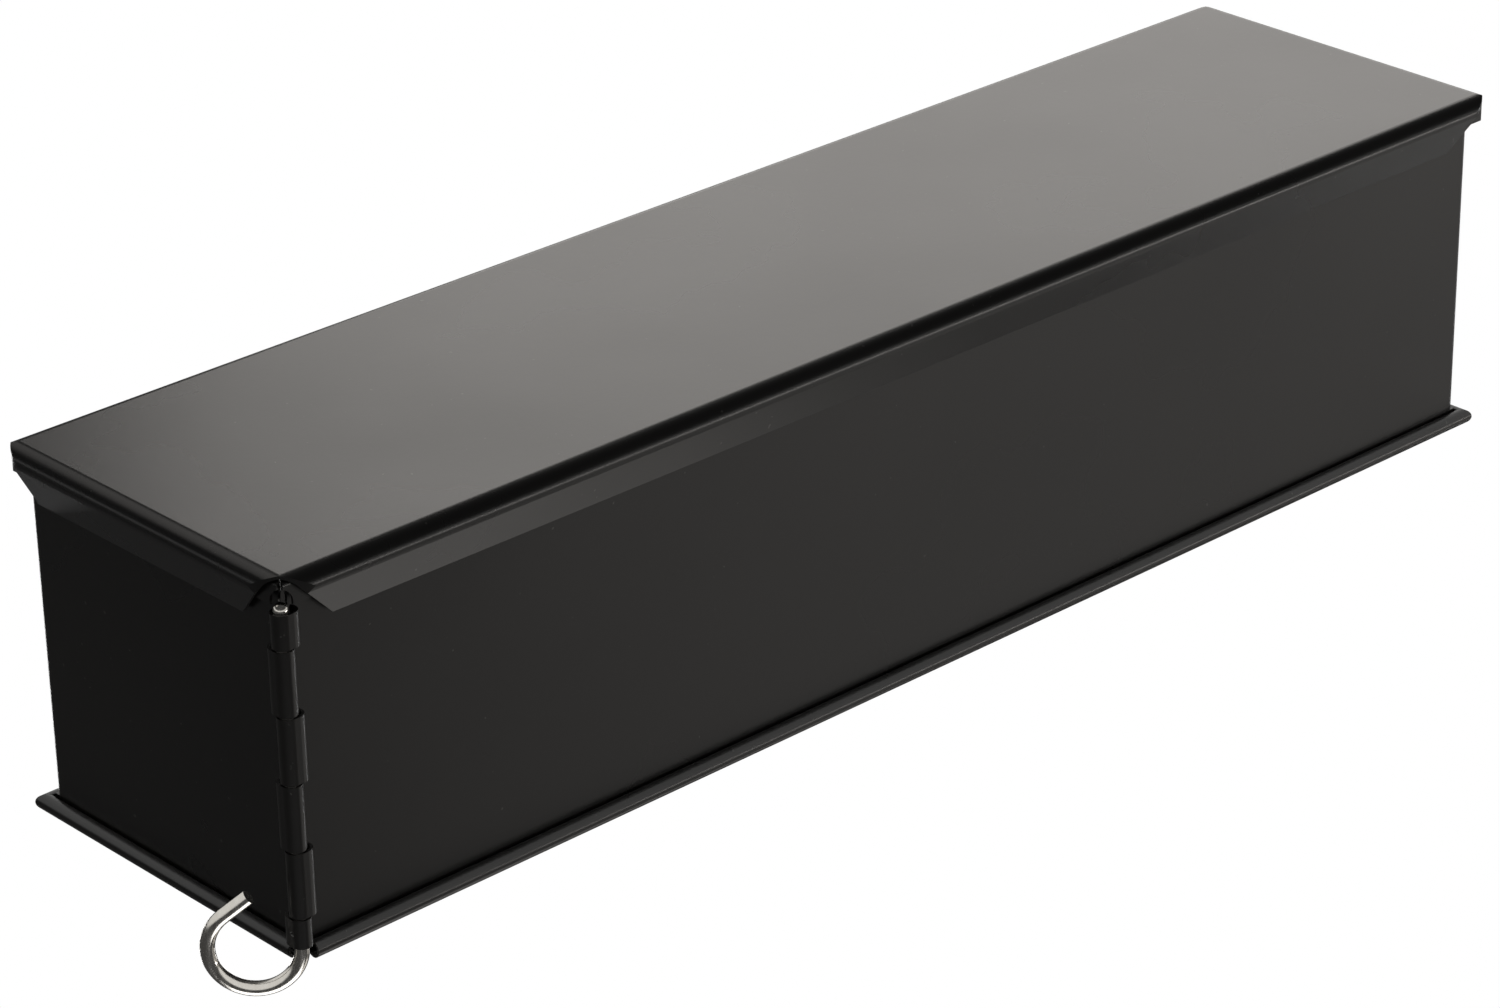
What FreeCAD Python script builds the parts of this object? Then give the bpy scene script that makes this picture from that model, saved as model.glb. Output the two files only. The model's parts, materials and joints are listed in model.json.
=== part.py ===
import FreeCAD, Part
import math
import os

# A hinged loaf mould of black non-stick sheet steel, standing with its mouth upwards.
# Two equal L-shaped side shells, each one long wall and one short wall with a plain
# bent corner between them, are joined at two opposite corners by wire hinge pins.
# The shells' feet hook into the folded edges of a removable base plate.
#
# Units are millimetres. The origin is at the centre of the base plate's underside,
# +X runs along the mould, +Z points up to the mouth, and the front long wall is at -Y.
# "Out" is always the distance outwards from a wall's outer face.

# Overall sizes
body_length = 341.0        # between the outer faces of the two short walls
body_width = 80.0          # between the outer faces of the two long walls
body_height = 82.0         # from the base plate's underside to the top of the rim
sheet = 0.6                # thickness of every sheet

# Base plate
base_overhang = 3.8        # how far the folded edge stands out from the walls
base_bend_radius = 3.2     # outside radius of the fold
flap_top = 11.5            # height of the flaps' free edges
flap_lean = 18.0           # how far past upright the flaps are folded, in degrees
hinge_corner_radius = 9.0  # rounding of the plate at each hinge corner ...
hinge_cut_in = 4.9         # ... and start of the slanted cut there, in from the plate's end
hinge_cut_foot = 2.0       # height where that cut starts
bent_corner_radius = 6.5   # the same three sizes at each bent corner
bent_cut_in = 3.0
bent_cut_foot = 1.5
cut_slope = 1.0            # how far a slanted cut runs in for each millimetre up ...
bent_short_slope = 0.6     # ... and the steeper one of a short flap at a bent corner

# Foot of a side shell, a hem turned outwards and up inside the base plate's fold
foot_gap = 0.35            # clearance above the base plate
foot_inner_radius = 0.65
foot_run = 4.2             # straight outer leg of the hem
mitre_gap = 0.3            # between the two shells' hems at a hinge corner
hem_reach = 1.0            # a hem's outer leg ends this far past the other wall
relief_radius = 3.2        # round relief in a hem, around the pin's tip
relief_out = 2.0           # its centre is this far past the other wall ...
relief_height = 5.8        # ... and this high

# Rolled rim
bead_inner_radius = 1.2
bead_turn = 292.0          # degrees, which leaves a slit beside the wall

# Bent corner of a side shell
corner_radius = 2.0        # outside radius
corner_foot = 6.8          # the rounded corner runs from here ...
corner_head = 4.0          # ... to this far below the top of the rim

# Hinges
pin_radius = 1.5
pin_play = 0.06            # radial clearance between a pin and its knuckles
knuckle_oval = 1.3         # extra length of a knuckle's loop towards its own wall
knuckle_foot = 7.0         # height of the lowest knuckle
knuckle_heights = [7.6, 14.0, 14.3, 14.3, 14.4, 6.6]
knuckle_gap = 0.4          # clearance between one knuckle and the next
knuckle_last_bend = 124.0  # degrees, closes the loop to just short of the wall
end_setback = 1.2          # where a wall ends, inside the other wall's outer face
dimple_radius = 0.7
dimple_depth = 0.25

# Wire pins
pin_tip = 5.2              # height of a pin's domed tip
ring_radius = 9.0          # of the wire's centre line
ring_turn = 231.0          # degrees
ring_tail = 6.6            # straight end of the ring
ring_drop = 3.7            # the ring's centre is this far below the top of the rim
ring_heading = 42.0        # direction of the ring seen from above, in degrees

# Worked out from the sizes above
half_length = body_length / 2
half_width = body_width / 2
knuckle_bore = pin_radius + pin_play
knuckle_middle = knuckle_bore + sheet / 2
pin_x = half_length + knuckle_bore
pin_y = -(half_width + knuckle_bore)
ring_z = body_height - ring_drop
spare = 6.0                # how far cutting bodies reach past what they cut
overlap = 1.0              # how far joined sheets run into each other

Vector = FreeCAD.Vector
up = Vector(0, 0, 1)
origin = Vector(0, 0, 0)


def bent_strip(start, heading, moves):
    """A flat face, one sheet thick, that follows straight runs and bends.

    moves holds ("run", length) and ("bend", degrees, middle radius); a positive
    bend turns to the left.
    """
    place = Vector(start[0], start[1], 0)
    angle = math.radians(heading)
    sides = {1: [], -1: []}

    def beside(point, direction, distance):
        across = Vector(-math.sin(direction), math.cos(direction), 0)
        return point + across * distance

    for move in moves:
        if move[0] == "run":
            along = Vector(math.cos(angle), math.sin(angle), 0) * move[1]
            for side, edges in sides.items():
                first = beside(place, angle, side * sheet / 2)
                edges.append(Part.LineSegment(first, first + along).toShape())
            place = place + along
            continue
        turn = math.radians(move[1])
        way = math.copysign(1, turn)
        middle = beside(place, angle, way * move[2])
        for side, edges in sides.items():
            radius = move[2] - way * side * sheet / 2
            points = [
                beside(middle, angle + turn * share, -way * radius)
                for share in (0, 0.5, 1)
            ]
            edges.append(Part.Arc(*points).toShape())
        angle = angle + turn
        place = beside(middle, angle, -way * move[2])

    caps = []
    ends = [(Vector(start[0], start[1], 0), math.radians(heading)), (place, angle)]
    for point, direction in ends:
        left = beside(point, direction, sheet / 2)
        right = beside(point, direction, -sheet / 2)
        caps.append(Part.LineSegment(left, right).toShape())
    edges = sides[1] + sides[-1] + caps
    return Part.Face(Part.Wire(Part.__sortEdges__(edges)))


def extrude_section(face, first_x, last_x):
    """Stand a section up so that its first axis points to -Y, and run it along X."""
    stand = FreeCAD.Matrix(
        0, 0, -1, last_x,
        -1, 0, 0, 0,
        0, 1, 0, 0,
        0, 0, 0, 1,
    )
    upright = face.copy()
    upright.Placement = FreeCAD.Placement(stand)
    return upright.extrude(Vector(first_x - last_x, 0, 0))


def plan_prism(points, low, high):
    """An upright prism on a polygon seen from above."""
    corners = [Vector(x, y, low) for x, y in points]
    face = Part.Face(Part.makePolygon(corners + corners[:1]))
    return face.extrude(up * (high - low))


def side_prism(points, low_y, high_y):
    """A prism on a polygon in the XZ plane, running along Y."""
    corners = [Vector(x, low_y, z) for x, z in points]
    face = Part.Face(Part.makePolygon(corners + corners[:1]))
    return face.extrude(Vector(0, high_y - low_y, 0))


def turned(shape, degrees):
    copy = shape.copy()
    copy.rotate(origin, up, degrees)
    return copy


def base_side(half_across, half_along):
    """One edge of the base plate, folded up and in, cut to its mitred share of the plate."""
    bend_middle = base_bend_radius - sheet / 2
    bend_degrees = 90 + flap_lean
    lean = math.radians(flap_lean)
    bend_top = base_bend_radius + bend_middle * math.sin(lean)
    flap_run = (flap_top - bend_top - sheet / 2 * math.sin(lean)) / math.cos(lean)
    section = bent_strip(
        (0, sheet / 2),
        0,
        [
            ("run", half_across + base_overhang - base_bend_radius),
            ("bend", bend_degrees, bend_middle),
            ("run", flap_run),
        ],
    )
    reach = half_along + base_overhang
    strip = extrude_section(section, -reach, reach)
    across = half_across + base_overhang
    if across < reach:
        share = [(-reach, -across), (reach, -across), (reach - across, 0), (across - reach, 0)]
    else:
        share = [(-reach, -across), (reach, -across), (0, reach - across)]
    return strip.common(plan_prism(share, -spare, flap_top + spare))


def slanted_cut(half_along, half_across, cut_in, cut_foot, slope=cut_slope):
    """The slanted cut across the end of a flap, at the +X end of a side at -Y."""
    start = half_along + base_overhang - cut_in
    rise = flap_top + spare - cut_foot
    points = [
        (start, cut_foot),
        (start - slope * rise, cut_foot + rise),
        (start + spare + cut_in, cut_foot + rise),
        (start + spare + cut_in, cut_foot),
    ]
    return side_prism(points, -(half_across + base_overhang + spare), -half_across - 0.1)


def corner_rounding(radius):
    """What is cut off to round the corner of the base plate at +X, -Y."""
    corner_x = half_length + base_overhang
    corner_y = -half_width - base_overhang
    tall = flap_top + 2 * spare
    block = Part.makeBox(
        radius + spare, radius + spare, tall,
        Vector(corner_x - radius, corner_y - spare, -spare),
    )
    post = Part.makeCylinder(radius, tall, Vector(corner_x - radius, corner_y + radius, -spare))
    return block.cut(post)


def mirrored_x(shape):
    return shape.mirror(origin, Vector(1, 0, 0))


def hinge_corner_cuts():
    """A rounded plate corner and a slanted cut up each flap, at +X, -Y."""
    across = slanted_cut(half_width, half_length, hinge_cut_in, hinge_cut_foot)
    return [
        corner_rounding(hinge_corner_radius),
        slanted_cut(half_length, half_width, hinge_cut_in, hinge_cut_foot),
        turned(mirrored_x(across), 90),
    ]


def bent_corner_cuts():
    """The same cuts, smaller, at -X, -Y."""
    across = slanted_cut(half_width, half_length, bent_cut_in, bent_cut_foot, bent_short_slope)
    return [
        mirrored_x(corner_rounding(bent_corner_radius)),
        mirrored_x(slanted_cut(half_length, half_width, bent_cut_in, bent_cut_foot)),
        turned(across, 270),
    ]


def base_plate():
    long_side = base_side(half_width, half_length)
    short_side = base_side(half_length, half_width)
    plate = long_side.multiFuse([turned(short_side, 90), turned(long_side, 180), turned(short_side, 270)])
    plate = plate.removeSplitter()

    cuts = []
    for cut in hinge_corner_cuts() + bent_corner_cuts():
        cuts += [cut, turned(cut, 180)]
    return plate.cut(cuts)


def wall_section(half_across):
    """Section through a wall: hooked foot, plain wall and rolled rim."""
    foot_middle = foot_inner_radius + sheet / 2
    bend_z = sheet + foot_gap + sheet + foot_inner_radius
    leg_out = 2 * foot_middle - sheet / 2
    bead_middle = bead_inner_radius + sheet / 2
    bead_z = body_height - bead_inner_radius - sheet
    return bent_strip(
        (half_across + leg_out, bend_z + foot_run),
        270,
        [
            ("run", foot_run),
            ("bend", -180, foot_middle),
            ("run", bead_z - bend_z),
            ("bend", -bead_turn, bead_middle),
        ],
    )


def knuckle(start, heading, way, foot, height):
    """One knuckle: the wall's sheet runs on past the corner and rolls round the pin.

    way is the turning sense, 1 to the left and -1 to the right.
    """
    to_pin = overlap + end_setback + knuckle_bore
    loop = bent_strip(
        start,
        heading,
        [
            ("run", to_pin),
            ("bend", way * 180, knuckle_middle),
            ("run", knuckle_oval),
            ("bend", way * knuckle_last_bend, knuckle_middle),
        ],
    )
    loop.translate(up * foot)
    return loop.extrude(up * height)


def knuckle_spans():
    """The foot and height of each knuckle, from the lowest up."""
    foot = knuckle_foot
    for height in knuckle_heights:
        yield foot, height - knuckle_gap
        foot += height


def hinge_end(half_along, half_across):
    """What is cut off the +X end of a wall at -Y, where it meets a hinge."""
    outside = -half_across - spare
    inside = -half_across + spare
    far = half_along + 2 * spare
    wall_foot = knuckle_foot - knuckle_gap
    above = Part.makeBox(
        end_setback + 2 * spare, 2 * spare, body_height,
        Vector(half_along - end_setback, outside, wall_foot),
    )
    mitre = plan_prism(
        [
            (half_along - spare - mitre_gap, inside),
            (half_along + spare - mitre_gap, outside),
            (far, outside),
            (far, inside),
        ],
        -spare, body_height,
    )
    beyond = Part.makeBox(
        2 * spare, 2 * spare, body_height, Vector(half_along + hem_reach, outside, -spare)
    )
    relief = Part.makeCylinder(
        relief_radius, 2 * spare,
        Vector(half_along + relief_out, outside, relief_height), Vector(0, 1, 0),
    )
    return above.multiFuse([mitre, beyond, relief])


def side_shell():
    """The front long wall and the left short wall, bent from one sheet."""
    long_end = half_length - end_setback
    short_end = half_width - end_setback
    long_reach = half_length + spare
    long_wall = extrude_section(wall_section(half_width), -long_reach, long_reach)
    long_wall = long_wall.cut(hinge_end(half_length, half_width))
    short_reach = half_width + spare
    short_wall = extrude_section(wall_section(half_length), -short_reach, short_reach)
    short_wall = short_wall.cut(mirrored_x(hinge_end(half_width, half_length)))
    short_wall.rotate(origin, up, 270)

    # Mitre both walls at the bent corner
    outer = (-half_length - spare, -half_width - spare)
    inner = (-half_length + spare, -half_width + spare)
    long_share = [outer, (long_reach, outer[1]), (long_reach, inner[1]), inner]
    short_share = [outer, inner, (inner[0], short_reach), (outer[0], short_reach)]
    low, high = -spare, body_height + spare
    long_wall = long_wall.common(plan_prism(long_share, low, high))
    short_wall = short_wall.common(plan_prism(short_share, low, high))

    # Round the bent corner between the foot and the rim
    corner_top = body_height - corner_head
    tall = corner_top - corner_foot
    block = Part.makeBox(
        corner_radius + spare, corner_radius + spare, tall,
        Vector(-half_length - spare, -half_width - spare, corner_foot),
    )
    bend_middle = corner_radius - sheet / 2
    bend = bent_strip(
        (-half_length + sheet / 2, -half_width + corner_radius),
        270,
        [("bend", 90, bend_middle)],
    )
    bend.translate(up * corner_foot)
    bend = bend.extrude(up * tall)

    pieces = [short_wall.cut(block), bend]
    long_line = -half_width + sheet / 2
    short_line = -half_length + sheet / 2
    for number, (foot, height) in enumerate(knuckle_spans()):
        if number % 2 == 0:
            pieces.append(knuckle((long_end - overlap, long_line), 0, -1, foot, height))
        else:
            pieces.append(knuckle((short_line, short_end - overlap), 90, 1, foot, height))
    shell = long_wall.cut(block).multiFuse(pieces).removeSplitter()

    # Round dimple that closes the knuckle at the mouth
    foot, height = list(knuckle_spans())[-1]
    knuckle_out = pin_x + knuckle_bore + sheet
    dimple = Part.makeSphere(
        dimple_radius,
        Vector(-knuckle_out - dimple_radius + dimple_depth, -pin_y, foot + height / 2),
    )
    return shell.cut(dimple)


def hinge_pin():
    """Straight wire with a domed tip below and an open ring above the mouth."""
    stem = Part.makeCylinder(pin_radius, ring_z - pin_tip - pin_radius, Vector(0, 0, pin_tip + pin_radius))
    dome = Part.makeSphere(pin_radius, Vector(0, 0, pin_tip + pin_radius))
    wire_end = Part.Face(Part.Wire(Part.makeCircle(pin_radius, Vector(0, 0, ring_z), up)))
    ring_axis = Vector(0, 1, 0)
    ring = wire_end.revolve(Vector(ring_radius, 0, ring_z), ring_axis, ring_turn)
    turn = math.radians(ring_turn)
    tail_start = Vector(
        ring_radius * (1 - math.cos(turn)), 0, ring_z + ring_radius * math.sin(turn)
    )
    tail_way = Vector(math.sin(turn), 0, math.cos(turn))
    tail = Part.makeCylinder(pin_radius, ring_tail, tail_start, tail_way)
    pin = stem.multiFuse([dome, ring, tail]).removeSplitter()
    pin.rotate(origin, up, ring_heading)
    pin.translate(Vector(pin_x, pin_y, 0))
    return pin


def build():
    shell = side_shell()
    pin = hinge_pin()
    return {
        "base_plate": base_plate(),
        "front_side_shell": shell,
        "back_side_shell": turned(shell, 180),
        "front_hinge_pin": pin,
        "back_hinge_pin": turned(pin, 180),
    }


os.makedirs("parts", exist_ok=True)
for name, shape in build().items():
    solids = shape.Solids
    if len(solids) != 1 or not shape.isValid():
        raise ValueError(name + " is not one valid solid")
    solids[0].exportStep("parts/" + name + ".step")
    print(name, round(shape.Volume, 1), shape.BoundBox)
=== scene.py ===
import json
import math

import bpy
from mathutils import Matrix, Vector


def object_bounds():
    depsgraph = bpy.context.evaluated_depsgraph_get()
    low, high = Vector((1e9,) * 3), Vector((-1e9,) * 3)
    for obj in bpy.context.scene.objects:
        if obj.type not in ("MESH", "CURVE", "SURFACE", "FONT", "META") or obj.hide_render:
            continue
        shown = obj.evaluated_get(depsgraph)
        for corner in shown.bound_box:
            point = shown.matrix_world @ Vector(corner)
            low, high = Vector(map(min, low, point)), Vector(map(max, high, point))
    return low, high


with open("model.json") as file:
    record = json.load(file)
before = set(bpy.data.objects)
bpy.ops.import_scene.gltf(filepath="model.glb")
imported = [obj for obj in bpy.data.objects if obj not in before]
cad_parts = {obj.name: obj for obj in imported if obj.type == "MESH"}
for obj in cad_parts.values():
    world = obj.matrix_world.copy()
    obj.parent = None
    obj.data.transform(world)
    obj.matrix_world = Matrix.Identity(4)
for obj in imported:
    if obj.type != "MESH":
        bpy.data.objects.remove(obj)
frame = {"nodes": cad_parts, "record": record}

MM = 0.001


def as_lists(bounds):
    return [[float(value) for value in corner] for corner in bounds]


cad_box = as_lists(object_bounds())

# ---------------------------------------------------------------- camera
# The mould is pictured lying on its mouth, so the camera looks at it from below and upside down.
VIEW_AZIMUTH = math.radians(47.26)
VIEW_RISE = math.radians(25.83)
VIEW_ROLL = math.radians(0.97)
VIEW_LENS = 116.49
VIEW_FROM = Vector((646.4, -682.0, -396.8)) * MM
SENSOR_WIDTH = 36.0


def make_camera():
    """Make the pictured view's camera and return the direction in which it looks."""
    forward = Vector((
        -math.cos(VIEW_RISE) * math.cos(VIEW_AZIMUTH),
        math.cos(VIEW_RISE) * math.sin(VIEW_AZIMUTH),
        math.sin(VIEW_RISE),
    ))
    level_right = Vector((-math.sin(VIEW_AZIMUTH), -math.cos(VIEW_AZIMUTH), 0))
    level_down = forward.cross(level_right)
    right = level_right * math.cos(VIEW_ROLL) + level_down * math.sin(VIEW_ROLL)
    image_up = right.cross(forward)
    data = bpy.data.cameras.new("camera")
    data.sensor_fit = "HORIZONTAL"
    data.sensor_width = SENSOR_WIDTH
    data.lens = VIEW_LENS
    data.clip_start = 0.01
    data.clip_end = 50.0
    camera = bpy.data.objects.new("camera", data)
    turn = Matrix((right, image_up, -forward)).transposed().to_4x4()
    camera.matrix_world = Matrix.Translation(VIEW_FROM) @ turn
    bpy.context.scene.collection.objects.link(camera)
    bpy.context.scene.camera = camera
    return forward


# ---------------------------------------------------------------- node helpers
def new_material(name):
    """A material with one Principled shader; returns it, its node tree and the shader."""
    material = bpy.data.materials.new(name)
    material.use_nodes = True
    tree = material.node_tree
    tree.nodes.clear()
    output = tree.nodes.new("ShaderNodeOutputMaterial")
    shader = tree.nodes.new("ShaderNodeBsdfPrincipled")
    tree.links.new(shader.outputs["BSDF"], output.inputs["Surface"])
    return material, tree, shader


def add_noise(tree, scale, detail, roughness=0.5, stretch=(1, 1, 1)):
    """Noise from 0 to 1; scale is in features per metre."""
    place = tree.nodes.new("ShaderNodeTexCoord")
    mapping = tree.nodes.new("ShaderNodeMapping")
    mapping.inputs["Scale"].default_value = stretch
    noise = tree.nodes.new("ShaderNodeTexNoise")
    noise.inputs["Scale"].default_value = scale
    noise.inputs["Detail"].default_value = detail
    noise.inputs["Roughness"].default_value = roughness
    tree.links.new(place.outputs["Object"], mapping.inputs["Vector"])
    tree.links.new(mapping.outputs["Vector"], noise.inputs["Vector"])
    return noise.outputs["Fac"]


def add_range(tree, value, low, high, start, end):
    """Turn the stretch of value from start to end into low to high."""
    change = tree.nodes.new("ShaderNodeMapRange")
    change.inputs["From Min"].default_value = start
    change.inputs["From Max"].default_value = end
    change.inputs["To Min"].default_value = low
    change.inputs["To Max"].default_value = high
    tree.links.new(value, change.inputs["Value"])
    return change.outputs["Result"]


def add_maths(tree, operation, first, second):
    """A maths node; second is a number or another node's value."""
    node = tree.nodes.new("ShaderNodeMath")
    node.operation = operation
    tree.links.new(first, node.inputs[0])
    if isinstance(second, float):
        node.inputs[1].default_value = second
    else:
        tree.links.new(second, node.inputs[1])
    return node.outputs["Value"]


def add_mix(tree, share, first, second):
    """A mix of two colours; first is a colour or another node's colour."""
    mix = tree.nodes.new("ShaderNodeMixRGB")
    tree.links.new(share, mix.inputs["Fac"])
    if isinstance(first, tuple):
        mix.inputs["Color1"].default_value = first
    else:
        tree.links.new(first, mix.inputs["Color1"])
    mix.inputs["Color2"].default_value = second
    return mix.outputs["Color"]


def add_bump(tree, value, depth, strength, below=None):
    """A bump of this depth in metres, on top of the one below."""
    bump = tree.nodes.new("ShaderNodeBump")
    bump.inputs["Strength"].default_value = strength
    bump.inputs["Distance"].default_value = depth
    tree.links.new(value, bump.inputs["Height"])
    if below is not None:
        tree.links.new(below, bump.inputs["Normal"])
    return bump.outputs["Normal"]


# ---------------------------------------------------------------- materials
def coated_steel():
    """Satin black non-stick coating on sheet steel."""
    material, tree, shader = new_material("nonstick_coating")
    shader.inputs["IOR"].default_value = 1.5
    dark, light = (0.0058, 0.0051, 0.0044, 1), (0.0096, 0.0086, 0.0076, 1)
    speck = (0.06, 0.058, 0.054, 1)
    cloud = add_noise(tree, 14.0, 4.0)
    grain = add_noise(tree, 2600.0, 2.0)
    waviness = add_noise(tree, 420.0, 2.0)
    specks = add_range(tree, add_noise(tree, 700.0, 1.0), 0.0, 1.0, 0.76, 0.80)
    colour = add_mix(tree, specks, add_mix(tree, cloud, dark, light), speck)
    tree.links.new(colour, shader.inputs["Base Color"])
    tree.links.new(add_range(tree, cloud, 0.26, 0.30, 0.3, 0.7), shader.inputs["Roughness"])
    peel = add_bump(tree, waviness, 0.020 * MM, 0.35)
    tree.links.new(add_bump(tree, grain, 0.012 * MM, 0.5, peel), shader.inputs["Normal"])
    return material


def drawn_wire():
    """Bright drawn steel wire."""
    material, tree, shader = new_material("pin_wire")
    shader.inputs["Metallic"].default_value = 1.0
    dull, bright = (0.56, 0.53, 0.48, 1), (0.72, 0.70, 0.66, 1)
    along_wire = (1, 1, 0.06)
    streak = add_noise(tree, 900.0, 3.0, 0.6, along_wire)
    tree.links.new(add_mix(tree, streak, dull, bright), shader.inputs["Base Color"])
    tree.links.new(add_range(tree, streak, 0.12, 0.24, 0.3, 0.7), shader.inputs["Roughness"])
    tree.links.new(add_bump(tree, streak, 0.010 * MM, 0.4), shader.inputs["Normal"])
    return material


MATERIALS = {"nonstick_steel": coated_steel(), "pin_wire": drawn_wire()}
for part in frame["record"]["subparts"]:
    node = frame["nodes"][part["node"]]
    material = MATERIALS[part["material_slot"]]
    node.data.materials.clear()
    node.data.materials.append(material)


# ---------------------------------------------------------------- stage and light
AMBIENT = 0.07
WARM = (1, 0.965, 0.925)


def make_world():
    """White where the camera sees it, and a faint even light for everything else."""
    world = bpy.data.worlds.new("studio")
    bpy.context.scene.world = world
    world.use_nodes = True
    tree = world.node_tree
    tree.nodes.clear()
    output = tree.nodes.new("ShaderNodeOutputWorld")
    seen = tree.nodes.new("ShaderNodeBackground")
    seen.inputs["Color"].default_value = (1, 1, 1, 1)
    seen.inputs["Strength"].default_value = 1.0
    light = tree.nodes.new("ShaderNodeBackground")
    light.inputs["Color"].default_value = (1, 1, 1, 1)
    light.inputs["Strength"].default_value = AMBIENT
    mix = tree.nodes.new("ShaderNodeMixShader")
    path = tree.nodes.new("ShaderNodeLightPath")
    tree.links.new(path.outputs["Is Camera Ray"], mix.inputs["Fac"])
    tree.links.new(light.outputs["Background"], mix.inputs[1])
    tree.links.new(seen.outputs["Background"], mix.inputs[2])
    tree.links.new(mix.outputs["Shader"], output.inputs["Surface"])


def make_floor():
    """A pale floor seen only from above, so that it never hides the mould's underside.

    Reflections that meet it within the nearest distance pass through it too, so that
    the base plate, which rests on it, mirrors the lights.
    """
    half = 6.0
    level = -0.05 * MM
    nearest_reflection = 20 * MM
    mesh = bpy.data.meshes.new("floor")
    corners = [(-half, -half, level), (half, -half, level), (half, half, level), (-half, half, level)]
    mesh.from_pydata(corners, [], [(0, 1, 2, 3)])
    floor = bpy.data.objects.new("floor", mesh)
    bpy.context.scene.collection.objects.link(floor)
    material, tree, shader = new_material("floor")
    shader.inputs["Base Color"].default_value = (0.86, 0.86, 0.85, 1)
    shader.inputs["Roughness"].default_value = 0.9
    shader.inputs["Emission Color"].default_value = (1, 1, 0.99, 1)
    shader.inputs["Emission Strength"].default_value = 0.3
    side = tree.nodes.new("ShaderNodeNewGeometry")
    clear = tree.nodes.new("ShaderNodeBsdfTransparent")
    mix = tree.nodes.new("ShaderNodeMixShader")
    output = next(node for node in tree.nodes if node.type == "OUTPUT_MATERIAL")
    path = tree.nodes.new("ShaderNodeLightPath")
    near = add_maths(tree, "LESS_THAN", path.outputs["Ray Length"], nearest_reflection)
    hidden = add_maths(tree, "MULTIPLY", near, path.outputs["Is Glossy Ray"])
    clear_share = add_maths(tree, "MAXIMUM", hidden, side.outputs["Backfacing"])
    tree.links.new(clear_share, mix.inputs["Fac"])
    tree.links.new(shader.outputs["BSDF"], mix.inputs[1])
    tree.links.new(clear.outputs["BSDF"], mix.inputs[2])
    tree.links.new(mix.outputs["Shader"], output.inputs["Surface"])
    mesh.materials.append(material)
    floor.visible_shadow = False
    floor.visible_diffuse = False


def panel(name, direction, distance, size, glow, colour=(1, 1, 1)):
    """A soft light seen from the mould in one direction, its distance and size in metres.

    glow is its brightness as the mould mirrors it.
    """
    data = bpy.data.lights.new(name, "AREA")
    data.shape = "RECTANGLE"
    data.size, data.size_y = size
    data.energy = glow * math.pi * size[0] * size[1]
    data.color = colour
    light = bpy.data.objects.new(name, data)
    direction = Vector(direction).normalized()
    light.location = middle + direction * distance
    light.rotation_euler = (-direction).to_track_quat("-Z", "Y").to_euler()
    light.visible_camera = False
    bpy.context.scene.collection.objects.link(light)


def mirrored_view(normal):
    """Where the pictured view goes after a reflection in a face with this normal."""
    return forward.reflect(Vector(normal).normalized())


make_world()
make_floor()
forward = make_camera()
low, high = (Vector(corner) for corner in cad_box)
middle = (low + high) / 2
bpy.context.scene.view_settings.view_transform = "Standard"

# Lights of the pictured view, most of them placed where one face of the mould mirrors them
panel("back_panel", mirrored_view((0, 0, -1)) + Vector((-0.30, 0.10, 0)), 2.0, (1.3, 1.2), 1.9, WARM)
panel("back_side_panel", mirrored_view((0.55, 0, -0.83)), 1.9, (1.5, 0.7), 0.75, WARM)
panel("front_panel", mirrored_view((0, -1, 0)) + Vector((-0.10, 0.08, -0.03)), 1.7, (1.0, 1.0), 0.44, WARM)
panel("front_strip", mirrored_view((0, -0.98, -0.19)), 1.7, (1.1, 0.10), 8.0, WARM)
panel("flap_panel", mirrored_view((0, -0.95, 0.31)) + Vector((0.22, 0, 0.05)), 1.7, (0.7, 0.7), 1.0, WARM)
panel("far_panel", forward + Vector((-0.14, 0, -0.09)), 1.8, (0.8, 0.6), 2.0)
panel("right_edge_strip", mirrored_view((-0.21, -0.98, 0)) + Vector((-0.04, 0.28, 0)), 1.8, (0.10, 0.8), 5.0)
panel("left_edge_strip", mirrored_view((0.92, 0.39, 0)), 1.8, (0.12, 0.8), 8.0)
# Soft light from above for the standing mould
panel("overhead", (0.2, -0.3, 1.0), 1.8, (1.6, 1.6), 2.7)
